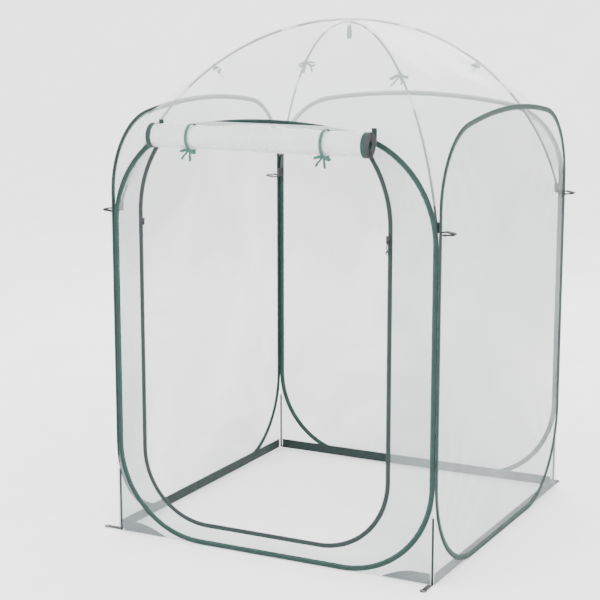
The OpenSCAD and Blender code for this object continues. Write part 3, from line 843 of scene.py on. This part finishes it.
def gore_points(wall, rows=60, cols=73):
    """A roof gore on a grid: t from the apex to the hoop, s across between two pole seams.

    The height goes from the pole's arc at both seams to the gore's own middle line, and at
    the foot it follows the hoop. Soft folds hang between the seams.
    """
    _, _, half, top, r, crown = WALLS[wall]
    t = np.linspace(0.004, 1, rows)[:, None]
    s = np.sin(np.linspace(-np.pi / 2, np.pi / 2, cols))[None]
    edge = np.maximum(EAVES_H, hoop_height(s * ROOF_HALF, half, top, r, crown))
    edge = np.where(np.abs(s * ROOF_HALF) >= half, EAVES_H, edge)
    share = (edge - EAVES_H) / (top - EAVES_H)
    mix = (1 - t) * (1 - s ** 2) + t * share
    middle = APEX_H - (APEX_H - top) * t ** 1.5
    z = ridge_height(t) + (middle - ridge_height(t)) * mix
    x = s * t * ROOF_HALF
    slack = np.clip((1 - np.abs(s)) * 4, 0, 1) * np.clip((1 - t) * 8, 0, 1) * np.clip(t * 4, 0, 1)
    fold = 2.2 * MM * np.sin(s * 9 + 4 * t) + 2.6 * MM * ripple(x, t, len(wall), 0.4)
    z = z + 1.0 * MM + slack * fold
    return on_wall(wall, x, abs(FRONT_Y) - t * ROOF_HALF - 0.4 * MM, z)


class GREENHOUSE_OT_roof(PieceOperator, bpy.types.Operator):
    """The film dome: four gores sewn along the pole seams"""

    bl_idname = "greenhouse.roof"
    bl_label = "Roof"

    def build(self):
        for wall in WALLS:
            points = gore_points(wall)
            gore = shell(f"{wall}_gore", points, FILM_T, MATERIALS["roof_film"])
            area = surface_area(gore) / 2
            ride(gore, wall, "clear_film", f"{wall}_roof_gore")
            fold_flat(gore)


class GREENHOUSE_OT_corners(PieceOperator, bpy.types.Operator):
    """Clear film below the hoops' lower corners, and the woven sills along the feet"""

    bl_idname = "greenhouse.corners"
    bl_label = "Corners and sills"

    def build(self):
        for wall, (_, _, half, *_) in WALLS.items():
            pair = []
            for m in (-1, 1):
                a = np.radians(np.linspace(-83, -7, 40))[:, None]
                rad = FOOT_R + SLEEVE_W / 2 - 1.0 * MM
                arc_x = half - FOOT_R + rad * np.cos(a)
                arc_z = HOOP_FOOT + FOOT_R + rad * np.sin(a)
                reach = half + SLEEVE_W / 2 - 0.5 * MM
                # out to the seam or down to the ground, whichever the ray meets first
                run = np.minimum((reach - (half - FOOT_R)) / np.cos(a),
                                 (HOOP_FOOT + FOOT_R - 1 * MM) / -np.sin(a))
                far_x = half - FOOT_R + run * np.cos(a)
                far_z = HOOP_FOOT + FOOT_R + run * np.sin(a)
                t = np.linspace(0, 1, 14)[None]
                x = arc_x * (1 - t) + far_x * t
                z = arc_z * (1 - t) + far_z * t
                ease = np.sin(np.pi * t) * np.ones_like(a)
                depth = 1.0 * MM * ease * np.sin(a * 26 + m)
                points = on_wall(wall, m * x, depth, z)
                pair.append(shell(f"{wall}_corner_{m}", points, FILM_T,
                                  MATERIALS["wall_film"]))
            film = join(f"{wall}_corners", pair)
            ride(film, wall, "clear_film", f"{wall}_corner_film")
            area = surface_area(film) / 2
            self.sill(wall, half)

    def sill(self, wall, half):
        """A woven band on the wall's inner side, slightly wavy along its top edge."""
        reach = half + SLEEVE_W / 2 - 14 * MM
        height, thick = SILL_H, SILL_T
        node = "front_corner_patches" if wall == "front" else f"{wall}_sill_band"
        base = SLEEVE_T / 2 + 0.3 * MM
        spans = [(-reach, reach)]
        if wall == "front":
            spans = [(-reach, -reach + PATCH_W), (reach - PATCH_W, reach)]
        parts = []
        for lo, hi in spans:
            u = np.linspace(lo, hi, max(24, int((hi - lo) / (8 * MM))))[:, None]
            v = np.linspace(0, 1, 10)[None]
            tall = height * np.ones_like(u)
            if wall == "front":
                # the patch slopes down towards the doorway along a quarter cosine
                d = np.clip((reach - np.abs(u) - 0.05) / 0.12, 0, 1)
                tall = height * np.cos(d * np.pi / 2 * 0.97)
            z = 1 * MM + v * tall
            depth = base + thick / 2 + 0.25 * MM * np.sin(u * 55) * v + 0 * z
            pts = on_wall(wall, u + 0 * v, depth + thick / 2, z)
            parts.append(shell(f"{wall}_sill_{len(parts)}", pts, thick * 0.9,
                               MATERIALS["green_oxford"],
                               normal=np.broadcast_to(np.array(WALLS[wall][1], float),
                                                      pts.shape)))
        band = join(f"{wall}_sill", parts) if len(parts) > 1 else parts[0]
        ride(band, wall, "green_oxford", node)
        area = surface_area(band) / 2


HEADER_ROWS = 10                # grid rows of the header strip above the roll


class GREENHOUSE_OT_door(PieceOperator, bpy.types.Operator):
    """The rolled-up door with its hems and ties, and the zip's teeth"""

    bl_idname = "greenhouse.door"
    bl_label = "Door"

    def build(self):
        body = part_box("door_roll")
        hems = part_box("door_roll_hems")
        self.axis = (np.array(hems[0]) + np.array(hems[1])) / 2
        self.half = (hems[1][0] - hems[0][0]) / 2
        self.outer = (body[1][2] - body[0][2]) / 2
        self.core = self.outer * 0.3
        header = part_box("door_header")
        self.header_y = (header[0][1] + header[1][1]) / 2
        self.header_top = header[1][2]
        self.ties = [float(np.mean([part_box(f"{s}_door_tie")[i][0] for i in (0, 1)]))
                     for s in ("left", "right")]

        x = np.linspace(-self.half, self.half, 150)
        roll = self.spiral("door_roll_film", x, 0.0, 0.45 * MM, MATERIALS["door_film"])
        ride(roll, "front", "clear_film", "door_roll", "door_header")
        area = surface_area(roll) / 2
        tape = []
        for k, (lo, hi) in enumerate(((-1, -1 + 0.045), (1 - 0.045, 1))):
            strip = np.linspace(lo, hi, 4) * self.half
            tape.append(self.spiral(f"hem_{k}", strip, 0.35 * MM, 1.2 * MM,
                                    MATERIALS["green_binding"]))
        hem = join("door_hems", tape)
        ride(hem, "front", "green_oxford", "door_roll_hems")
        ends = [self.edge_teeth(f"door_coil_{k}", end) for k, end in enumerate((-1, 1))]
        teeth = join("door_zip_edge", ends)
        ride(teeth, "front", "zip_nylon")
        for side, at in zip(("left", "right"), self.ties):
            self.tie(side, at)
        self.zip_teeth()

    def winding(self, x, lift):
        """The door's section: a header strip that drops from the hoop, then an inward spiral.

        The spiral's radius falls evenly with the angle from the outer radius to the core. Near
        the two ties it is drawn in, and between them it is a little uneven.
        """
        turns = look().roll_turns
        a = np.linspace(0, turns * TAU, turns * 44)[:, None]
        share = a / a[-1]
        rad = self.outer * 0.965 * (1 - share) + self.core * share
        pinch = sum(np.exp(-((x[None] + self.axis[0] - t) / 0.022) ** 2) for t in self.ties)
        uneven = ripple(x[None], a * 0.045, 3, 0.16) * 1.9 * MM * (1 - 0.8 * share)
        free = 1 - np.clip(pinch, 0, 1)
        crease = 0.9 * MM * np.sin(x[None] * 95 + a * 2.0) * (1 - share) * free
        rad = rad * (1 - 0.07 * pinch * (1 - share)) + uneven * free + crease
        rad = np.minimum(rad, self.outer - 1.2 * MM) + lift
        # starts at the side next to the wall, and winds over the top and outwards
        y = self.axis[1] + rad * np.cos(a)
        z = self.axis[2] + rad * np.sin(a)
        x = x[None] + self.axis[0] + 0 * a
        roll = np.stack([x, y, z], -1)
        t = np.linspace(0, 1, HEADER_ROWS, endpoint=False)[:, None]
        top = np.stack(np.broadcast_arrays(x[:1], self.header_y - lift, self.header_top), -1)
        header = top * (1 - t[..., None]) + roll[:1] * t[..., None]
        # the strip hangs straight before it meets the roll's back
        header[..., 1] = self.header_y - lift + (roll[:1, :, 1] - self.header_y + lift) * t ** 3
        points = np.concatenate([header, roll])
        self.length = surface_length(points[:, points.shape[1] // 2])
        return points

    def spiral(self, name, x, lift, thick, material):
        """One wound sheet over the given stations along the roll."""
        return shell(name, self.winding(x, lift), thick, material)

    def edge_teeth(self, name, end):
        """The half zip along a rolled edge: a fine cord that follows the spiral."""
        x = np.array([end * (self.half - 0.8 * MM)])
        path = self.winding(x, -0.2 * MM)[HEADER_ROWS:, 0]
        return sweep(name, path, circle(1.5 * MM, 6), MATERIALS["moulded_nylon"], up=(1, 0, 0))

    def tie(self, side, at):
        """A tape loop round the roll, with a bow low on its front."""
        rad = self.outer - 0.2 * MM
        a = np.linspace(0, TAU, 64, endpoint=False)
        squeeze = 1 - 0.03 * np.cos(2 * a)
        path = np.stack([np.full_like(a, at), self.axis[1] + rad * squeeze * np.cos(a),
                         self.axis[2] + rad * squeeze * np.sin(a)], 1)
        loop = sweep(f"{side}_tie_loop", path, flat_band(11 * MM, 1 * MM), MATERIALS["green_tape"],
                     up=(path - np.array([at, *self.axis[1:]])), closed=True)
        knot_at = np.array([at, self.axis[1] - rad * 0.55, self.axis[2] - rad * 0.86])
        bow = make_bow(f"{side}_tie_bow", knot_at, (1, 0, 0), (0, -0.45, -0.9), 24 * MM, 9 * MM)
        whole = join(f"{side}_tie", [loop, bow])
        ride(whole, "front", "green_tape", f"{side}_door_tie")

    def zip_teeth(self):
        """The frame half of the zip: a row of small moulded teeth, one every 2.5 mm."""
        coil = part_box("door_zip_coil")
        y = (coil[0][1] + coil[1][1]) / 2
        line = door_route(-8.3 * MM)
        s = running_length(line[:, :2])
        at = np.arange(1 * MM, s[-1], 2.5 * MM)
        x, z, nx, nz = (np.interp(at, s, line[:, i]) for i in range(4))
        size = np.hypot(nx, nz)
        nx, nz = nx / size, nz / size
        tx, tz = -nz, nx
        corners = []
        for du in (-1.4, 1.4):
            for dv, dt in ((-1.0, -0.8), (1.0, -0.8), (1.0, 0.8), (-1.0, 0.8)):
                grow = 0.75 if du < 0 else 1.0
                corners.append(np.stack([x + (du * nx + dt * grow * tx) * MM,
                                         np.full_like(x, y + dv * grow * MM),
                                         z + (du * nz + dt * grow * tz) * MM], 1))
        teeth = blocks("zip_teeth", corners, MATERIALS["moulded_nylon"])
        cord = np.stack([line[:, 0], np.full(len(line), y), line[:, 1]], 1)
        spine = sweep("zip_spine", cord, circle(0.7 * MM, 6), MATERIALS["moulded_nylon"],
                      up=(0, 1, 0))
        ride(join("zip_teeth", [teeth, spine]), "front", "zip_nylon",
             "door_zip_coil")


def make_bow(name, centre, across, down, size, width):
    """A tied bow: a knot, two loops and two tails of flat tape.

    Each loop runs out from the knot and back in a teardrop; each tail curves down and ends
    cut square. across and down are unit-like directions.
    """
    centre, across, down = (np.array(v, float) for v in (centre, across, down))
    across /= np.linalg.norm(across)
    down /= np.linalg.norm(down)
    out = np.cross(across, down)
    out /= np.linalg.norm(out)
    parts = []
    band = flat_band(width, 0.9 * MM)
    for k, side in enumerate((-1, 1)):
        drop = 0.25 + 0.15 * k
        loop = [(0, 0, 0), (0.45, 0.02, 0.24), (1.0, drop - 0.12, 0.3), (1.25, drop, 0.05),
                (0.95, drop + 0.12, -0.2), (0.4, 0.12, -0.16), (0, 0.03, -0.02)]
        tail = [(0, 0, 0), (0.25, 0.4, 0.18), (0.55 - 0.1 * k, 0.95, 0.1),
                (0.62 + 0.15 * k, 1.5 + 0.2 * k, -0.05)]
        for j, shape in enumerate((loop, tail)):
            pts = [centre + size * (side * a * across + b * down + c * out) for a, b, c in shape]
            path = smooth_path(pts, 26)
            tangent = np.gradient(path, axis=0)
            flat_way = np.cross(tangent, down if j == 0 else across)
            flat_way /= np.linalg.norm(flat_way, axis=1, keepdims=True) + 1e-9
            parts.append(sweep(f"{name}_{k}{j}", path, band, MATERIALS["green_tape"],
                               up=flat_way, scale=np.linspace(0.8, 1, 26) if j else None))
    ring = ring_points(centre, size * 0.17, down, out, 16)
    parts.append(sweep(f"{name}_knot", ring, flat_band(width * 0.95, 2.2 * MM),
                       MATERIALS["green_tape"], up=ring - centre, closed=True))
    return join(name, parts)


def pole_frame(upper):
    """Plan direction, top height and radius of a pole's arc."""
    turn = np.pi / 4 if upper else -np.pi / 4
    top = UPPER_TOP if upper else LOWER_TOP
    return np.array([np.cos(turn), np.sin(turn), 0]), top, arch(TIP_RADIUS, top - TIP_H)


def pole_points(upper, a):
    """Points on a pole's arc at angles a from its top."""
    way, top, rad = pole_frame(upper)
    a = np.atleast_1d(a)[:, None]
    return way * rad * np.sin(a) + np.array([0, 0, 1]) * (top - rad + rad * np.cos(a))


class GREENHOUSE_OT_poles(PieceOperator, bpy.types.Operator):
    """The two crossed roof poles: rods, ferrules, tips, ties and the hanger tape where they cross
    """

    bl_idname = "greenhouse.poles"
    bl_label = "Roof poles"

    def build(self):
        for upper, name in ((True, "upper"), (False, "lower")):
            way, _, rad = pole_frame(upper)
            end = np.arcsin(TIP_RADIUS / rad)
            flat = np.cross(way, (0, 0, 1))
            rod = sweep(f"{name}_pole", pole_points(upper, np.linspace(-end, end, 120)),
                        circle(POLE_R, 16), MATERIALS["glass_fibre"], up=flat)
            ride(rod, "front", "glass_fibre", f"{name}_pole_rods", f"{name}_pole_cord")
            step = 2 * end / POLE_SECTIONS
            rings = []
            for i in range(1, POLE_SECTIONS):
                mid = -end + i * step
                a = mid + np.radians(np.linspace(-2, 2, 15))
                # rolled-in ends: the tube narrows to the rod over its last millimetres
                taper = np.ones(15)
                taper[[0, -1]] = 0.86
                rings.append(sweep(f"{name}_f{i}", pole_points(upper, a),
                                   circle(POLE_R + 0.9 * MM, 16), MATERIALS["ferrule_steel"],
                                   up=flat, scale=taper))
            ferrules = join(f"{name}_ferrules", rings)
            ride(ferrules, "front", "ferrule_steel", f"{name}_pole_ferrules")
            caps = []
            for k in (-1, 1):
                a = k * (end + np.array([-9, -8.5, 0, 1.5, 4, 6, 7]) * MM / rad)
                size = np.array([0.9, 1, 1, 1.0, 0.9, 0.65, 0.3])
                caps.append(sweep(f"{name}_tip{k}", pole_points(upper, a),
                                  circle(POLE_R + 0.7 * MM, 16), MATERIALS["moulded_nylon"],
                                  up=flat, scale=size))
            tips = join(f"{name}_tips", caps)
            ride(tips, "front", "tip_plastic", f"{name}_pole_tips")
            for piece in (rod, ferrules, tips):
                fold_flat(piece)
        self.ties()
        self.apex()

    def ties(self):
        """A tape loop and bow at each rib, sewn to the film and knotted under the pole."""
        parts = []
        for upper in (True, False):
            way, _, _ = pole_frame(upper)
            for k in (-1, 1):
                a = k * np.radians(35)
                at = pole_points(upper, [a])[0]
                radial = way * np.sin(a) + np.array([0, 0, 1]) * np.cos(a)
                across = np.cross(way, (0, 0, 1))
                ring = ring_points(at, 5.2 * MM, radial, across, 24)
                parts.append(sweep(f"tie_ring_{upper}{k}", ring, flat_band(10 * MM, 0.9 * MM),
                                   MATERIALS["green_tape"], up=ring - at, closed=True))
                parts.append(make_bow(f"tie_bow_{upper}{k}", at - radial * 9 * MM,
                                      across, -radial, 26 * MM, 8 * MM))
        ties = join("pole_ties_tape", parts)
        ride(ties, "front", "green_tape", "pole_ties")
        fold_flat(ties)

    def apex(self):
        """The tape hung under the crossing, with a loop for a lamp or sprayer."""
        lo, hi = (np.array(v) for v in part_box("apex_tie"))
        top = np.array([0, 0, hi[2]])
        drop = hi[2] - lo[2]
        pts = [(0, 0.004, 0), (0, 0.007, -0.25), (0, 0.0095, -0.6), (0, 0.007, -0.93),
               (0, 0, -1.0), (0, -0.007, -0.93), (0, -0.0095, -0.6), (0, -0.007, -0.25),
               (0, -0.004, 0)]
        path = smooth_path([top + [x, y, z * drop * 0.95] for x, y, z in pts], 48)
        inwards = np.array([0, 0, hi[2] - drop * 0.5]) - path
        loop = sweep("apex_loop", path, flat_band(11 * MM, 1 * MM), MATERIALS["green_tape"],
                     up=inwards)
        ring = ring_points(top - [0, 0, 5 * MM], 5.5 * MM, *np.eye(3)[:2], 20)
        knot = sweep("apex_knot", ring, flat_band(7 * MM, 2 * MM), MATERIALS["green_tape"],
                     up=ring - ring.mean(0), closed=True)
        whole = join("apex_hanger", [loop, knot])
        ride(whole, "front", "green_tape", "apex_tie")
        fold_flat(whole)


class GREENHOUSE_OT_webbing(PieceOperator, bpy.types.Operator):
    """Pole pockets, guy loops and stake tabs of folded webbing"""

    bl_idname = "greenhouse.webbing"
    bl_label = "Webbing"

    def build(self):
        for fb in ("front", "back"):
            for lr in ("left", "right"):
                corner = f"{fb}_{lr}"
                self.pocket(corner, fb)
                self.guy(corner, lr)
                self.stake(corner)

    def pocket(self, corner, wall):
        """A cup of webbing round the pole's tip: a rounded tube, closed below."""
        lo, hi = (np.array(v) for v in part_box(f"{corner}_pocket"))
        sx, sy = np.sign(lo[0]), np.sign(lo[1])
        diagonal = np.array([sx, sy, 0]) / np.sqrt(2)
        centre = diagonal * TIP_RADIUS
        across = np.array([-sy, sx, 0]) / np.sqrt(2)
        z = np.array([hi[2], hi[2] - 4 * MM, hi[2] - 16 * MM, hi[2] - 30 * MM,
                      hi[2] - 33 * MM, hi[2] - 34 * MM])
        size = np.array([1.0, 0.98, 1.0, 0.97, 0.8, 0.05])
        a = np.linspace(0, TAU, 28, endpoint=False)
        # section: a superellipse, flatter than a circle on its four sides
        power = 0.6
        u = 9.4 * MM * np.sign(np.cos(a)) * np.abs(np.cos(a)) ** power
        v = 12.4 * MM * np.sign(np.sin(a)) * np.abs(np.sin(a)) ** power
        rings = []
        for zz, k in list(zip(z, size)) + list(zip((z + 1.4 * MM)[::-1], size[::-1] * 0.86)):
            zz = min(zz, hi[2])
            rings.append(centre + np.outer(u * k, diagonal) + np.outer(v * k, across)
                         + [0, 0, zz])
        n = len(rings)
        faces = grid_faces(n, len(a), wrap_rows=True, wrap_cols=True)
        cup = fix_normals(make_object(f"{corner}_cup", np.concatenate(rings), faces,
                                      MATERIALS["black_webbing"]))
        ride(cup, wall, "black_webbing", f"{corner}_pocket")
        fold_flat(cup)

    def guy(self, corner, wall):
        """A folded webbing loop, standing out from the wall: a teardrop seen from the front."""
        lo, hi = (np.array(v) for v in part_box(f"{corner}_guy_loop"))
        way = np.sign(lo[0])
        inner = way * min(abs(lo[0]), abs(hi[0]))
        reach = hi[0] - lo[0]
        mid_y, mid_z = (lo[1] + hi[1]) / 2, (lo[2] + hi[2]) / 2
        pts = [(0.0, 0.3), (0.25, 0.42), (0.55, 0.3), (0.88, 0.16), (0.97, -0.02), (0.84, -0.16),
               (0.5, -0.22), (0.25, -0.34), (0.0, -0.26)]
        tall = hi[2] - lo[2]
        path = smooth_path([(inner + way * a * reach * 0.97, mid_y, mid_z + b * tall * 0.85)
                            for a, b in pts], 44)
        loop = sweep(f"{corner}_loop", path, flat_band(23 * MM, 4.4 * MM),
                     MATERIALS["black_webbing"],
                     up=path - np.array([inner + way * reach * 0.45, mid_y, mid_z]))
        ride(loop, wall, "black_webbing", f"{corner}_guy_loop")

    def stake(self, corner):
        """A webbing tab on the ground that ends round a stake eye."""
        node = f"{corner}_stake_loop"
        lo, hi = (np.array(v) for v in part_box(node))
        size = hi - lo
        i = int(np.argmax(size[:2]))
        j = 1 - i
        way = np.zeros(3)
        way[i] = np.sign(lo[i])
        side = np.zeros(3)
        side[j] = 1
        near = min(abs(lo[i]), abs(hi[i]))
        eye = (lo + hi) / 2
        eye[i] = np.sign(lo[i]) * (max(abs(lo[i]), abs(hi[i])) - 12 * MM)
        eye[2] = 2 * MM
        ring = ring_points(eye, 9.3 * MM, way, side, 40)
        eyelet = sweep(f"{corner}_eyelet", ring, flat_band(4.6 * MM, 3.4 * MM), MATERIALS[
            "black_webbing"], up=(0, 0, 1), closed=True)
        start = eye.copy()
        start[i] = np.sign(lo[i]) * near
        stop = eye - way * 9 * MM
        t = np.linspace(0, 1, 24)[:, None]
        path = start * (1 - t) + stop * t + [0, 0, 1] * (0.8 * MM * np.sin(t * np.pi))
        tab = sweep(f"{corner}_tab", path, flat_band(18 * MM, 2.2 * MM, 0.2 * MM),
                    MATERIALS["black_webbing"], up=(0, 0, 1))
        whole = join(f"{corner}_stake_tab", [eyelet, tab])
        body = {"front_left": "left", "front_right": "front", "back_right": "back",
                "back_left": "back"}[corner]
        ride(whole, body, "green_oxford", node)


class GREENHOUSE_OT_finishes(PieceOperator, bpy.types.Operator):
    """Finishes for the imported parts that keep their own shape"""

    bl_idname = "greenhouse.finishes"
    bl_label = "Finishes"

    def build(self):
        for name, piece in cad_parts.items():
            for ending, finish in CAD_FINISH.items():
                if name.endswith(ending):
                    piece.data.materials.clear()
                    piece.data.materials.append(MATERIALS[finish])


class GREENHOUSE_PT_pieces(bpy.types.Panel):
    """Lists the pieces in the sidebar"""

    bl_label = "Greenhouse"
    bl_idname = "GREENHOUSE_PT_pieces"
    bl_space_type = "VIEW_3D"
    bl_region_type = "UI"
    bl_category = "Greenhouse"

    def draw(self, context):
        settings = context.scene.greenhouse_look
        for key in ("binding_light", "binding_dark", "film_tint", "film_haze", "wall_ripple",
                    "roll_turns"):
            self.layout.prop(settings, key)
        for step in STEPS:
            self.layout.operator(step.bl_idname)


STEPS = (GREENHOUSE_OT_stage, GREENHOUSE_OT_hoops, GREENHOUSE_OT_walls, GREENHOUSE_OT_roof,
         GREENHOUSE_OT_corners, GREENHOUSE_OT_door, GREENHOUSE_OT_poles,
         GREENHOUSE_OT_webbing, GREENHOUSE_OT_finishes)
CLASSES = (GreenhouseLook, *STEPS, GREENHOUSE_PT_pieces)


def register():
    """Adds the classes and the scene's settings."""
    for cls in CLASSES:
        bpy.utils.register_class(cls)
    bpy.types.Scene.greenhouse_look = PointerProperty(type=GreenhouseLook)


def unregister():
    """Takes them away again."""
    del bpy.types.Scene.greenhouse_look
    for cls in reversed(CLASSES):
        bpy.utils.unregister_class(cls)


def main():
    """Builds the whole object."""
    register()
    make_materials()
    for step in STEPS:
        getattr(bpy.ops.greenhouse, step.bl_idname.split(".")[1])()


if __name__ == "__main__":
    main()
